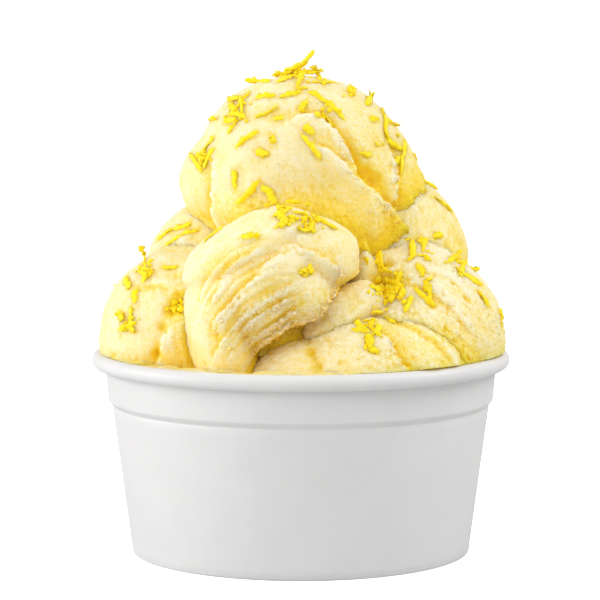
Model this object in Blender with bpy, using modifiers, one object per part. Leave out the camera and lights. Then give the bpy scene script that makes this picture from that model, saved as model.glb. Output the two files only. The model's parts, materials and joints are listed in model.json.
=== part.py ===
"""Lemon sorbet heaped in a paper cup.

The cup is two pieces of paperboard: a turned wall with a rolled rim, a stacking
shoulder and a hemmed foot, and a base disc whose skirt hangs inside the hem.
Sorbet is packed level just under the rim, and eight scoops stand on it.

Lengths are written in millimetres and become metres when a mesh is made.
Z is up, the origin is at the centre of the foot, and -Y is the front.
"""

import math

import bmesh
import bpy
import numpy as np

MM = 0.001

# Cup. The collar is the wider band under the rim, and the hem is the wall's foot
# folded up inside it.
RIM_RADIUS = 46.0
CUP_HEIGHT = 44.5
ROLL_RADIUS = 1.76
PAPER = 0.5
COLLAR_RADIUS = 43.05
COLLAR_TOP_Z = 41.1
COLLAR_BASE_RADIUS = 42.5
COLLAR_BASE_Z = 34.3
BODY_TOP_RADIUS = 41.62
BODY_TOP_Z = 32.4
FOOT_RADIUS = 37.25
FOOT_ROUNDING = 0.4
HEM_HEIGHT = 4.2
GAP = 0.3
TURN_STEPS = 36
ROLL_RING = (RIM_RADIUS - ROLL_RADIUS, CUP_HEIGHT - ROLL_RADIUS)

# Sorbet
FILL_TOP_Z = 40.0
FILL_SAG = 0.8
DISH_SHARE = 0.6
CREASE_BLEND = 0.5
CREASE_WIDTH = 1.1
LINE_STEPS = 24
FRONT_FADE = 0.3
FOLD_ENDS = (0.35, 0.15)
FOLD_EDGE = 0.8
LIP_SHARE = 0.25
LIP_BACK = 0.9
LIP_WIDTH = 1.1
RIB_RISE = 3.0
RIB_FALL = 1.5
RIB_MIDDLE = 0.5

# Cutters: how much a pressed scoop's room is grown past the gap, and how far the
# clearance reaches outside the rim and below the floor
PRESS_MARGIN = 0.1
CLEAR_BEYOND = 20.0
CLEAR_BELOW = -5.0

PAPER_WHITE = (0.80, 0.80, 0.79, 1.0)
SORBET_YELLOW = (0.93, 0.83, 0.44, 1.0)

# Each scoop is a soft union of lobes, seen from a point inside it.
#   lobes: (centre, half sizes, lean), the lean in degrees about Y
#   folds: a line on the scoop's front in X and Z, where the sorbet steps down by
#          drop on the side to the right of the line's direction and comes back
#          over run
#   pole:  where the poles of the sphere that it is shaped from point
#   ribs:  scraped ridges that run from pole to pole: the longitude of the first groove,
#          how many follow it, and the ends, as angles from the pole
#   grid:  how many segments and rings that sphere has
#   crease: how deep a groove marks where two lobes meet
#   lean_out: where the scoop is exposed, so that its faces gather there
#   yields_to: the scoops pressed into it
SCOOPS = {
    "scoop_top": {
        "centre": (0.0, 5.0, 79.0),
        "lobes": [
            ((-1.0, 3.0, 81.3), (22.5, 21.5, 23.4), 20.0),
            ((3.5, 7.0, 80.2), (20.0, 21.0, 24.2), 0.0),
            ((12.0, 8.0, 77.0), (14.3, 18.0, 19.0), 0.0),
            ((2.5, 2.0, 76.0), (20.5, 21.0, 17.5), 20.0),
            ((-14.0, 4.0, 76.5), (12.4, 14.0, 13.5), 0.0),
            ((-9.0, -5.5, 75.2), (10.5, 12.0, 6.5), 0.0),
        ],
        "folds": [
            {"line": [(-2.5, 98.5), (6.0, 92.5), (11.0, 87.0), (15.2, 81.6), (19.5, 75.5),
                      (22.0, 67.0)],
             "drop": 3.4, "run": 5.0},
            {"line": [(2.0, 101.5), (9.5, 95.0), (13.5, 87.5), (17.5, 80.0)],
             "drop": 1.8, "run": 3.5},
            {"line": [(-13.5, 69.0), (-19.0, 71.5), (-20.4, 77.0), (-18.4, 84.0)],
             "drop": 2.0, "run": 5.0},
        ],
        "crease": 1.2,
        "pole": (0.0, 0.0, 1.0),
        "grid": (30, 19),
        "lean_out": (0.0, -0.3, 0.3),
        "yields_to": [],
    },
    "scoop_front_left": {
        "centre": (-7.0, -22.0, 54.0),
        "lobes": [
            ((-8.0, -23.0, 57.5), (21.0, 16.0, 14.2), -48.0),
            ((3.0, -21.0, 64.5), (10.0, 12.0, 10.5), 0.0),
            ((-12.5, -21.0, 47.0), (11.5, 15.5, 14.0), 0.0),
        ],
        "folds": [
            {"line": [(-3.5, 69.5), (3.5, 67.5), (7.6, 62.6), (7.4, 57.5), (3.5, 53.5)],
             "drop": -1.6, "run": 4.0},
        ],
        "pole": (0.80, -0.157, 0.576),
        "ribs": {"first": -75.0, "count": 6, "period": 15.0, "depth": 1.5, "ends": (38.0, 150.0),
                 "fade": 20.0},
        "crease": 0.8,
        "grid": (72, 12),
        "lean_out": (0.0, 0.0, 0.0),
        "yields_to": ["scoop_top"],
    },
    "scoop_front_right": {
        "centre": (13.0, -23.0, 40.0),
        "lobes": [
            ((8.0, -26.5, 36.0), (19.0, 14.5, 19.0), -10.0),
            ((20.0, -23.5, 36.0), (15.5, 16.0, 18.7), 12.0),
            ((11.5, -20.0, 51.0), (9.0, 8.0, 11.0), 25.0),
        ],
        "folds": [],
        "crease": 1.2,
        "pole": (0.0, 0.0, 1.0),
        "grid": (20, 13),
        "lean_out": (0.1, -0.4, 0.5),
        "yields_to": ["scoop_top", "scoop_front_left"],
    },
    "scoop_right": {
        "centre": (24.0, -6.0, 48.0),
        "lobes": [
            ((24.5, -7.0, 47.5), (19.8, 20.0, 20.3), 0.0),
            ((15.0, -11.0, 62.5), (4.2, 5.0, 6.0), 0.0),
        ],
        "folds": [],
        "crease": 0.8,
        "pole": (0.0, 0.0, 1.0),
        "grid": (18, 12),
        "lean_out": (0.4, -0.15, 0.25),
        "yields_to": ["scoop_top", "scoop_front_left", "scoop_front_right"],
    },
    "scoop_left": {
        "centre": (-24.0, -4.0, 46.0),
        "lobes": [
            ((-25.0, -5.0, 46.0), (19.0, 20.0, 19.5), -8.0),
            ((-27.0, -15.0, 46.0), (8.0, 9.0, 10.0), 10.0),
        ],
        "folds": [],
        "crease": 0.8,
        "pole": (0.0, 0.0, 1.0),
        "grid": (18, 11),
        "lean_out": (-0.4, -0.15, 0.25),
        "yields_to": ["scoop_top", "scoop_front_left"],
    },
    "scoop_back_left": {
        "centre": (-17.0, 13.0, 54.0),
        "lobes": [
            ((-18.0, 12.0, 59.0), (16.3, 20.0, 17.4), 0.0),
            ((-18.0, 18.0, 47.0), (19.0, 20.0, 18.0), 0.0),
        ],
        "folds": [],
        "crease": 0.0,
        "pole": (0.0, 0.0, 1.0),
        "grid": (18, 11),
        "lean_out": (-0.35, 0.4, 0.2),
        "yields_to": ["scoop_top", "scoop_left", "scoop_front_left"],
    },
    "scoop_back_right": {
        "centre": (18.0, 13.0, 56.0),
        "lobes": [
            ((20.0, 11.0, 62.5), (17.4, 19.0, 20.0), 0.0),
            ((19.0, 18.0, 48.0), (18.5, 19.0, 19.0), 0.0),
        ],
        "folds": [],
        "crease": 0.0,
        "pole": (0.0, 0.0, 1.0),
        "grid": (18, 11),
        "lean_out": (0.35, 0.4, 0.2),
        "yields_to": ["scoop_top", "scoop_right", "scoop_back_left"],
    },
    "scoop_back": {
        "centre": (0.0, 27.0, 46.0),
        "lobes": [
            ((-4.0, 26.0, 45.0), (16.0, 16.0, 20.0), -15.0),
            ((7.0, 27.0, 44.0), (14.0, 15.5, 18.0), 15.0),
        ],
        "folds": [],
        "crease": 0.8,
        "pole": (0.0, 0.0, 1.0),
        "grid": (18, 11),
        "lean_out": (0.0, 0.45, 0.3),
        "yields_to": ["scoop_top", "scoop_back_left", "scoop_back_right"],
    },
}


def arc(centre_r, centre_z, radius, start, end, count):
    """Points (r, z) on an arc, angles in degrees from the outward direction."""
    angles = np.radians(np.linspace(start, end, count))
    return [(centre_r + radius * math.cos(a), centre_z + radius * math.sin(a)) for a in angles]


def smooth_step(x):
    x = np.clip(x, 0.0, 1.0)
    return x * x * (3.0 - 2.0 * x)


def smooth_line(points, steps):
    """A Catmull-Rom curve through the points, ends repeated."""
    p = np.array([points[0], *points, points[-1]], float)
    spans = len(points) - 1
    at = np.linspace(0.0, spans - 1e-9, steps)
    i = at.astype(int)
    t = (at - i)[:, None]
    a, b, c, d = p[i], p[i + 1], p[i + 2], p[i + 3]
    bend = (2 * a - 5 * b + 4 * c - d) * t**2
    return 0.5 * (2 * b + (c - a) * t + bend + (3 * b - a - 3 * c + d) * t**3)


def lobe_reach(directions, centre, lobe):
    """How far each ray from the centre runs before it leaves a lobe, and 0 where it misses."""
    lobe_centre, half_sizes, lean = lobe
    a = math.radians(lean)
    turn = np.array([[math.cos(a), 0, math.sin(a)], [0, 1, 0], [-math.sin(a), 0, math.cos(a)]])
    ray = directions @ turn / half_sizes
    start = (np.array(centre) - lobe_centre) @ turn / half_sizes
    square = (ray * ray).sum(1)
    half = ray @ start
    inside = half * half - square * (start @ start - 1.0)
    return np.where(inside > 0, (-half + np.sqrt(np.maximum(inside, 0))) / square, 0.0)


def fold_step(x, z, fold):
    """The step along a fold line: nothing on its left, a drop that comes back on its right."""
    line = smooth_line(fold["line"], LINE_STEPS)
    a, b = line[:-1], line[1:]
    span = b - a
    point = np.stack([x, z], 1)[:, None, :]
    along = np.clip(((point - a) * span).sum(2) / (span * span).sum(1), 0, 1)
    gap = point - (a + along[..., None] * span)
    near = np.argmin((gap * gap).sum(2), 1)
    row = np.arange(len(x))
    gap, at = gap[row, near], (near + along[row, near]) / len(a)
    side = np.sign(span[near, 1] * gap[:, 0] - span[near, 0] * gap[:, 1])
    distance = side * np.sqrt((gap * gap).sum(1))
    if fold["drop"] < 0:
        distance = -distance
    taper = smooth_step(at / FOLD_ENDS[0]) * smooth_step((1 - at) / FOLD_ENDS[1])
    step = smooth_step(distance / FOLD_EDGE + 0.5) * np.exp(-np.maximum(distance, 0) / fold["run"])
    lip = LIP_SHARE * np.exp(-((distance + LIP_BACK) / LIP_WIDTH) ** 2)
    return abs(fold["drop"]) * taper * (lip - step)


def pole_frame(pole):
    """Three axes as columns: one towards the front, one across, and the pole."""
    up = np.array(pole) / np.linalg.norm(pole)
    ahead = np.array([0.0, -1.0, 0.0])
    ahead = ahead - up * (ahead @ up)
    ahead /= np.linalg.norm(ahead)
    return np.stack([ahead, np.cross(up, ahead), up], 1)


def rib_height(directions, scoop):
    """Scraped ridges along the pole's meridians: each rises fast from its groove, then runs down."""
    ribs = scoop["ribs"]
    ahead, across, up = (directions @ pole_frame(scoop["pole"])).T
    phase = (np.degrees(np.arctan2(across, ahead)) - ribs["first"]) / ribs["period"]
    from_pole = np.degrees(np.arccos(np.clip(up, -1, 1)))
    start, end = ribs["ends"]
    fade = smooth_step((from_pole - start) / ribs["fade"]) * smooth_step((end - from_pole) / ribs["fade"])
    fade *= smooth_step(phase + 0.5) * smooth_step(ribs["count"] + 0.5 - phase)
    within = phase - np.floor(phase)
    shape = np.minimum(RIB_RISE * within, RIB_FALL * (1 - within)) - RIB_MIDDLE
    return ribs["depth"] * shape * fade


def scoop_reach(directions, scoop):
    """Distance from the scoop's centre to its surface in each direction."""
    reach = np.array([lobe_reach(directions, scoop["centre"], lobe) for lobe in scoop["lobes"]])
    far = reach.max(0)
    soft = far + CREASE_BLEND * np.log(np.exp((reach - far) / CREASE_BLEND).sum(0))
    if len(reach) > 1:
        rival = np.sort(reach, axis=0)[-2]
        soft -= scoop["crease"] * np.exp(-(((far - rival) / CREASE_WIDTH) ** 2))
    point = np.array(scoop["centre"]) + directions * soft[:, None]
    front = smooth_step(-directions[:, 1] / FRONT_FADE)
    x, z = point[:, 0], point[:, 2]
    for fold in scoop["folds"]:
        soft = soft + front * fold_step(x, z, fold)
    if "ribs" in scoop:
        soft = soft + rib_height(directions, scoop)
    return soft


def material(name, colour, roughness):
    made = bpy.data.materials.new(name)
    made.use_nodes = True
    shader = made.node_tree.nodes["Principled BSDF"]
    shader.inputs["Base Color"].default_value = colour
    shader.inputs["Roughness"].default_value = roughness
    shader.inputs["Metallic"].default_value = 0.0
    return made


def collection(name):
    made = bpy.data.collections.new(name)
    bpy.context.scene.collection.children.link(made)
    return made


def place(name, mesh, home, finish=None):
    made = bpy.data.objects.new(name, mesh)
    home.objects.link(made)
    if finish:
        mesh.materials.append(finish)
    return made


def turned(name, profile, home, finish=None, closed=True):
    """A closed outline in r and z, turned about Z. Its points run down the outer side."""
    mesh = bpy.data.meshes.new(name)
    count = len(profile)
    edges = [(i, (i + 1) % count) for i in range(count if closed else count - 1)]
    mesh.from_pydata([(r * MM, 0.0, z * MM) for r, z in profile], edges, [])
    made = place(name, mesh, home, finish)
    screw = made.modifiers.new("Turn", "SCREW")
    screw.steps = screw.render_steps = TURN_STEPS
    screw.use_merge_vertices = True
    screw.merge_threshold = 0.00001
    screw.use_smooth_shade = True
    return made


def wall_radius(z):
    """The body's outer radius below the collar."""
    return FOOT_RADIUS + (BODY_TOP_RADIUS - FOOT_RADIUS) * z / BODY_TOP_Z


def collar_radius(z):
    """The collar's outer radius: it narrows a little from the roll down."""
    share = (z - COLLAR_BASE_Z) / (COLLAR_TOP_Z - COLLAR_BASE_Z)
    return COLLAR_BASE_RADIUS + (COLLAR_RADIUS - COLLAR_BASE_RADIUS) * share


def collar(inset):
    """The collar's outline from the top down, and its step back to the body, moved in by inset."""
    halfway = ((COLLAR_BASE_RADIUS + BODY_TOP_RADIUS) / 2, (COLLAR_BASE_Z + BODY_TOP_Z) / 2)
    base = (COLLAR_BASE_RADIUS, COLLAR_BASE_Z)
    shape = [(COLLAR_RADIUS, COLLAR_TOP_Z), base, halfway, (BODY_TOP_RADIUS, BODY_TOP_Z)]
    return [(r - inset, z) for r, z in shape]


def make_wall(home, finish):
    hem_outer = FOOT_RADIUS - 2 * PAPER - 2 * GAP
    hem_inner = hem_outer - PAPER
    outline = arc(*ROLL_RING, ROLL_RADIUS, 90, -135, 8)
    outline += collar(0.0)
    outline += [(wall_radius(FOOT_ROUNDING), FOOT_ROUNDING), (FOOT_RADIUS - FOOT_ROUNDING, 0.0)]
    outline += [(hem_inner + FOOT_ROUNDING, 0.0), (hem_inner, FOOT_ROUNDING), (hem_inner, HEM_HEIGHT)]
    outline += [(hem_outer, HEM_HEIGHT), (hem_outer, PAPER), (wall_radius(PAPER) - PAPER, PAPER)]
    outline += reversed(collar(PAPER))
    outline += arc(*ROLL_RING, ROLL_RADIUS, 180, 118, 3)
    turned("cup_wall", outline, home, finish)


def make_base(home, finish):
    """The disc that the sorbet stands on, with a skirt down between the wall and its hem."""
    outer = wall_radius(PAPER + GAP) - PAPER - GAP
    inner = outer - PAPER
    low, under, top = PAPER + GAP, HEM_HEIGHT + GAP, HEM_HEIGHT + GAP + PAPER
    outline = [(0.0, top), (outer - FOOT_ROUNDING, top), (outer, top - FOOT_ROUNDING), (outer, low)]
    outline += [(inner, low), (inner, under - GAP), (inner - GAP, under), (0.0, under)]
    turned("cup_base", outline, home, finish, closed=False)


def make_fill(home, finish):
    """Packed sorbet: as wide as the cup inside, its top a little dished."""
    floor = HEM_HEIGHT + PAPER + 2 * GAP
    edge = collar_radius(FILL_TOP_Z) - PAPER - GAP
    outline = [(0.0, FILL_TOP_Z - FILL_SAG), (DISH_SHARE * edge, FILL_TOP_Z - DISH_SHARE * FILL_SAG)]
    outline += [(edge, FILL_TOP_Z)]
    outline += [*collar(PAPER + GAP)[1:], (wall_radius(floor) - PAPER - GAP, floor), (0.0, floor)]
    turned("sorbet_fill", outline, home, finish, closed=False)


def make_clearance(home):
    """All that scoops stay out of: the fill, the wall and its roll, each grown by the gap."""
    level = FILL_TOP_Z + GAP
    beyond = RIM_RADIUS + CLEAR_BEYOND
    outline = [(0.0, level), (collar_radius(level) - PAPER - GAP, level)]
    outline += arc(*ROLL_RING, ROLL_RADIUS + GAP, 180, 0, 7)
    outline += [(beyond, ROLL_RING[1]), (beyond, CLEAR_BELOW), (0.0, CLEAR_BELOW)]
    made = turned("clearance", outline, home, closed=False)
    hide(made)
    return made


def hide(cutter):
    cutter.hide_render = True
    cutter.display_type = "WIRE"


def scoop_mesh(name, scoop, growth):
    """A sphere whose points gather on the exposed side and move out to the surface."""
    shape = bmesh.new()
    segments, rings = scoop["grid"]
    bmesh.ops.create_uvsphere(shape, u_segments=segments, v_segments=rings, radius=1.0)
    directions = np.array([v.co for v in shape.verts]) @ pole_frame(scoop["pole"]).T + scoop["lean_out"]
    directions /= np.linalg.norm(directions, axis=1, keepdims=True)
    reach = scoop_reach(directions, scoop) + growth
    points = (np.array(scoop["centre"]) + directions * reach[:, None]) * MM
    for vertex, point in zip(shape.verts, points):
        vertex.co = point
    bmesh.ops.triangulate(shape, faces=shape.faces, quad_method="FIXED")
    mesh = bpy.data.meshes.new(name)
    shape.to_mesh(mesh)
    shape.free()
    mesh.shade_smooth()
    return mesh


def cut(target, cutter):
    boolean = target.modifiers.new("Clear of " + cutter.name, "BOOLEAN")
    boolean.operation = "DIFFERENCE"
    boolean.object = cutter


def make_scoops(home, cutters, finish, clearance):
    grown = {}
    for name, scoop in SCOOPS.items():
        grown[name] = place("room_" + name, scoop_mesh("room_" + name, scoop, GAP + PRESS_MARGIN), cutters)
        hide(grown[name])
        made = place(name, scoop_mesh(name, scoop, 0.0), home, finish)
        cut(made, clearance)
        for other in scoop["yields_to"]:
            cut(made, grown[other])


def main():
    for old in list(bpy.data.objects):
        bpy.data.objects.remove(old)
    home, cutters = collection("sorbet_cup"), collection("cutters")
    paper = material("white_paperboard", PAPER_WHITE, 0.55)
    sorbet = material("lemon_sorbet", SORBET_YELLOW, 0.6)
    make_wall(home, paper)
    make_base(home, paper)
    make_fill(home, sorbet)
    make_scoops(home, cutters, sorbet, make_clearance(cutters))


main()
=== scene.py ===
import itertools
import json
import math

import bpy
import numpy as np
from mathutils import Matrix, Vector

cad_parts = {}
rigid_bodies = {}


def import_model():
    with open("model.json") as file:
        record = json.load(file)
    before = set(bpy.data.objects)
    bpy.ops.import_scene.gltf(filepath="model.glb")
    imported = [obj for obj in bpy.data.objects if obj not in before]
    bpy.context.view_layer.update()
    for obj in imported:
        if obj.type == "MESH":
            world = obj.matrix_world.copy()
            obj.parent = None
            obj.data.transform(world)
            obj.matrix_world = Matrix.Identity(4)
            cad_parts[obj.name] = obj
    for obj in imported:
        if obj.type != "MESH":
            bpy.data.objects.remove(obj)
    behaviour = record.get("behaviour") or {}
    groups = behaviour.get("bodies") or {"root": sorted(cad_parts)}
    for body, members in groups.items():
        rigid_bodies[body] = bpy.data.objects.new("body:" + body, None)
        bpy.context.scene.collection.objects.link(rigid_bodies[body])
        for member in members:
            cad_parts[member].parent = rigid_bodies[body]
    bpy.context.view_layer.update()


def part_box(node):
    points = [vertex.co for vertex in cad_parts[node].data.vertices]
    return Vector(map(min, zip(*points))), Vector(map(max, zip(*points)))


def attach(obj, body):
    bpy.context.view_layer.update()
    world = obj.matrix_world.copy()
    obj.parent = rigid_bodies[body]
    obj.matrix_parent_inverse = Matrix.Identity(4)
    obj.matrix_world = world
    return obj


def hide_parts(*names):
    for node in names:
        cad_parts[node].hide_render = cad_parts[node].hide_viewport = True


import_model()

# Lengths are in millimetres until a mesh is made. The front of the cup faces -Y.
mm = 0.001


def smooth(x):
    # 0 below 0 and 1 above 1, by 3x^2 - 2x^3 between
    x = np.clip(x, 0.0, 1.0)
    return x * x * (3 - 2 * x)


def bell(x):
    # e to the minus x squared
    return np.exp(-x * x)


def lengthOf(vectors):
    return np.sqrt((vectors * vectors).sum(-1))


def unit(vectors):
    return vectors / lengthOf(vectors)[..., None]


def cellNumbers(cell, seed):
    # three repeatable numbers from -1 to 1 for each whole-numbered cell: its counts are scrambled into
    # 32 bits, and each number is ten of them
    n = cell.astype(np.int64).astype(np.uint32)
    mixed = (n[..., 0] * np.uint32(2376512323)) ^ (n[..., 1] * np.uint32(3625334849))
    mixed ^= (n[..., 2] * np.uint32(3407524639)) ^ np.uint32(seed * 7919 + 101)
    for shift, factor in ((15, 739982445), (12, 695872825), (15, 2654435769)):
        mixed ^= mixed >> np.uint32(shift)
        mixed *= np.uint32(factor)
    mixed ^= mixed >> np.uint32(16)
    tens = [mixed & np.uint32(1023), (mixed >> np.uint32(10)) & np.uint32(1023), mixed >> np.uint32(22)]
    return np.stack(tens, -1) / 511.5 - 1


def noise(points, size, seed):
    # gradient noise, about -1 to 1: a slope at each corner of a grid of this size, blended by the
    # fifth-power fade
    at = points / size
    low = np.floor(at)
    part = at - low
    fade = part ** 3 * (part * (6 * part - 15) + 10)
    total = np.zeros(len(points))
    for corner in np.ndindex(2, 2, 2):
        weight = np.where(corner, fade, 1 - fade).prod(1)
        total += weight * ((part - corner) * cellNumbers(low + corner, seed)).sum(1)
    return 1.5 * total


def grains(points, size, seed, astray=0.42, widest=0.7):
    # round grains packed this far apart: half an ellipse over the distance to the nearest grain's middle,
    # which lies up to astray from the middle of its cell
    at = points / size
    low = np.floor(at)
    nearest = np.full(len(points), 9.0)
    for corner in np.ndindex(3, 3, 3):
        cell = low + corner - 1
        gap = cell + 0.5 + astray * cellNumbers(cell, seed) - at
        nearest = np.minimum(nearest, (gap * gap).sum(1))
    return np.sqrt(np.clip(1 - nearest / widest, 0, 1))


def smoothLine(points, steps):
    # a Catmull-Rom curve through the points, its ends repeated
    p = np.array([points[0], *points, points[-1]], float)
    at = np.linspace(0, len(points) - 1 - 1e-9, steps)
    i = at.astype(int)
    t = (at - i)[:, None]
    a, b, c, d = p[i], p[i + 1], p[i + 2], p[i + 3]
    return 0.5 * (2 * b + (c - a) * t + (2 * a - 5 * b + 4 * c - d) * t ** 2
                  + (3 * b - a - 3 * c + d) * t ** 3)


def facing(azimuth, elevation):
    # rows to the right, up and outward for someone who looks from there: azimuth 0 is the front, 90 the right
    a, e = math.radians(azimuth), math.radians(elevation)
    outward = np.array([math.sin(a) * math.cos(e), -math.cos(a) * math.cos(e), math.sin(e)])
    right = np.array([math.cos(a), math.sin(a), 0])
    return np.array([right, np.cross(outward, right), outward])


def makePiece(name, points, faces, finish, marks=None, softened=True):
    # faces is a list of arrays, each with one row of corners for each face
    mesh = bpy.data.meshes.new(name)
    mesh.vertices.add(len(points))
    mesh.vertices.foreach_set("co", (points * mm).astype(np.float32).ravel())
    corners = np.concatenate([f.ravel() for f in faces]).astype(np.int32)
    sides = np.concatenate([np.full(len(f), f.shape[1]) for f in faces])
    mesh.loops.add(len(corners))
    mesh.loops.foreach_set("vertex_index", corners)
    mesh.polygons.add(len(sides))
    mesh.polygons.foreach_set("loop_start", (np.cumsum(sides) - sides).astype(np.int32))
    for mark, values in (marks or {}).items():
        mesh.attributes.new(mark, "FLOAT", "POINT").data.foreach_set("value", values.astype(np.float32))
    mesh.update(calc_edges=True)
    mesh.validate()
    if softened:
        mesh.shade_smooth()
    mesh.materials.append(finish)
    piece = bpy.data.objects.new(name, mesh)
    bpy.context.scene.collection.objects.link(piece)
    return piece


def gridFaces(rows, columns, wrapRows=False, wrapColumns=True):
    # the squares of a grid of points, in its own order, closed on itself where it wraps
    i = np.arange(rows if wrapRows else rows - 1)[:, None]
    j = np.arange(columns if wrapColumns else columns - 1)[None, :]
    nextI, nextJ = (i + 1) % rows, (j + 1) % columns
    squares = [i * columns + j, i * columns + nextJ, nextI * columns + nextJ, nextI * columns + j]
    return np.stack([np.broadcast_to(s, (i.size, j.size)) for s in squares], -1).reshape(-1, 4)


def ballGrid(count):
    # six square sheets round a ball: a direction is (1, tan u, tan v) in each sheet's own axes, and the
    # sheets share the points on their edges
    line = np.tan(np.linspace(-math.pi / 4, math.pi / 4, count + 1))
    u, v = np.meshgrid(line, line, indexing="ij")
    square = gridFaces(count + 1, count + 1, wrapColumns=False)
    points, faces = [], []
    for axis in range(3):
        for side in (1.0, -1.0):
            sheet = np.empty((u.size, 3))
            sheet[:, axis] = side
            sheet[:, (axis + 1) % 3] = v.ravel()
            sheet[:, (axis + 2) % 3] = u.ravel()
            faces.append((square if side > 0 else square[:, ::-1]) + len(points) * u.size)
            points.append(sheet)
    points, faces = np.concatenate(points), np.concatenate(faces)
    _, first, index = np.unique(np.round(points, 6), axis=0, return_index=True, return_inverse=True)
    return unit(points[first]), index.reshape(-1)[faces]


def newFinish(name, roughness):
    finish = bpy.data.materials.new(name)
    finish.use_nodes = True
    shader = finish.node_tree.nodes["Principled BSDF"]
    shader.inputs["Roughness"].default_value = roughness
    return finish, finish.node_tree, shader


def addNode(tree, kind, **settings):
    # a node with its settings: a plain name is a property, and a name from a socket is that input's value
    node = tree.nodes.new(kind)
    for name, value in settings.items():
        if name in node.inputs:
            node.inputs[name].default_value = value
        else:
            setattr(node, name, value)
    return node


def addPattern(tree, kind, scale, detail=3.0, roughness=0.6):
    # noise or cells over the object's own coordinates, scale in bumps per metre
    where = addNode(tree, "ShaderNodeTexCoord")
    if kind == "cells":
        made = addNode(tree, "ShaderNodeTexVoronoi", feature="F1", Scale=scale)
    else:
        made = addNode(tree, "ShaderNodeTexNoise", Scale=scale, Detail=detail, Roughness=roughness)
    tree.links.new(where.outputs["Object"], made.inputs["Vector"])
    return made.outputs["Distance" if kind == "cells" else "Fac"]


def addMath(tree, operation, a, b):
    made = addNode(tree, "ShaderNodeMath", operation=operation)
    for socket, value in zip(made.inputs, (a, b)):
        if isinstance(value, (int, float)):
            socket.default_value = value
        else:
            tree.links.new(value, socket)
    return made.outputs[0]


def addRamp(tree, factor, stops):
    # a colour ramp from (place, colour) pairs
    made = addNode(tree, "ShaderNodeValToRGB")
    ramp = made.color_ramp
    while len(ramp.elements) < len(stops):
        ramp.elements.new(0.5)
    for element, (place, colour) in zip(ramp.elements, stops):
        element.position = place
        element.color = (*colour, 1)
    tree.links.new(factor, made.inputs["Fac"])
    return made.outputs["Color"]


def addBumps(tree, shader, bumps):
    # each bump is (pattern, strength, height in metres), laid over the one before
    normal = None
    for pattern, strength, height in bumps:
        made = addNode(tree, "ShaderNodeBump", Strength=strength, Distance=height)
        tree.links.new(addPattern(tree, *pattern), made.inputs["Height"])
        if normal:
            tree.links.new(normal, made.inputs["Normal"])
        normal = made.outputs["Normal"]
    tree.links.new(normal, shader.inputs["Normal"])


sorbetLook = {
    # a cloud is (bumps per metre, detail, how far it shifts the colour). Light travels depth metres under the
    # skin, times reach for red, green and blue
    "stops": [
        (0.00, (0.972, 0.838, 0.580)),
        (0.30, (0.975, 0.786, 0.390)),
        (0.62, (0.985, 0.715, 0.140)),
        (1.00, (0.985, 0.650, 0.016)),
    ],
    "clouds": [(160.0, 4.0, 0.16), (1900.0, 2.0, 0.85)],
    "roughness": 0.42,
    "ior": 1.33,
    "depth": 0.0045,
    "reach": (1.0, 0.94, 0.72),
    "bumps": [(("cells", 1900.0), 0.4, 0.0003), (("noise", 1700.0, 4.0, 0.7), 0.45, 0.0003)],
}


def sorbetFinish(name, through):
    # goldAndShade runs from 0 on a crest to 1 deep in a crease, and the colour follows it from pale to gold,
    # shifted by the clouds.
    # Part of it is the sorbet's own tone, and the gold in creases, between scoops, underneath and away from
    # the light is painted shade.
    # Through is the share of light that passes under the skin
    finish, tree, shader = newFinish(name, sorbetLook["roughness"])
    place = addNode(tree, "ShaderNodeAttribute", attribute_name="goldAndShade").outputs["Fac"]
    for scale, detail, share in sorbetLook["clouds"]:
        shift = addMath(tree, "SUBTRACT", addPattern(tree, "noise", scale, detail), 0.5)
        place = addMath(tree, "ADD", place, addMath(tree, "MULTIPLY", shift, share))
    tree.links.new(addRamp(tree, place, sorbetLook["stops"]), shader.inputs["Base Color"])
    shader.inputs["Subsurface Weight"].default_value = through
    shader.inputs["Subsurface Radius"].default_value = sorbetLook["reach"]
    shader.inputs["Subsurface Scale"].default_value = sorbetLook["depth"]
    shader.inputs["IOR"].default_value = sorbetLook["ior"]
    addBumps(tree, shader, sorbetLook["bumps"])
    return finish


zestLook = {
    # bright yellow peel with small darker oil pits, a paler pith here and there
    "roughness": 0.45,
    "specular": 0.2,
    "cloud": ("noise", 1100.0, 3.0),
    "stops": [
        (0.25, (0.995, 0.690, 0.003)),
        (0.50, (0.998, 0.790, 0.008)),
        (0.72, (0.998, 0.850, 0.060)),
    ],
    "bumps": [(("cells", 2400.0), 0.5, 0.00015)],
}

paperLook = {
    # coated board: white, with a faint cloud of fibres, a very fine tooth and a slow wave
    "roughness": 0.46,
    "specular": 0.5,
    "cloud": ("noise", 90.0, 5.0),
    "stops": [(0.3, (0.700, 0.692, 0.688)), (0.7, (0.730, 0.724, 0.720))],
    "bumps": [(("noise", 2800.0, 3.0), 0.10, 0.00006), (("noise", 60.0, 2.0, 0.4), 0.25, 0.0004)],
}


def cloudedFinish(name, look):
    # the colour runs along the stops with one cloud of noise
    finish, tree, shader = newFinish(name, look["roughness"])
    shader.inputs["Specular IOR Level"].default_value = look["specular"]
    cloud = addPattern(tree, *look["cloud"])
    tree.links.new(addRamp(tree, cloud, look["stops"]), shader.inputs["Base Color"])
    addBumps(tree, shader, look["bumps"])
    return finish


sorbet = sorbetFinish("lemon_sorbet", 0.85)
iceGrain = sorbetFinish("lemon_sorbet_grain", 0.0)
zest = cloudedFinish("lemon_zest", zestLook)
paper = cloudedFinish("white_board", paperLook)
print("finishes made")


camera = {
    "back": 644.2,
    "height": 121.9,
    "pitch": 5.883,
    "lens": 176.38,
    "sensor": 36.0,
    "shift": -0.0013,
    "clip": (0.01, 20.0),
}


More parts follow.
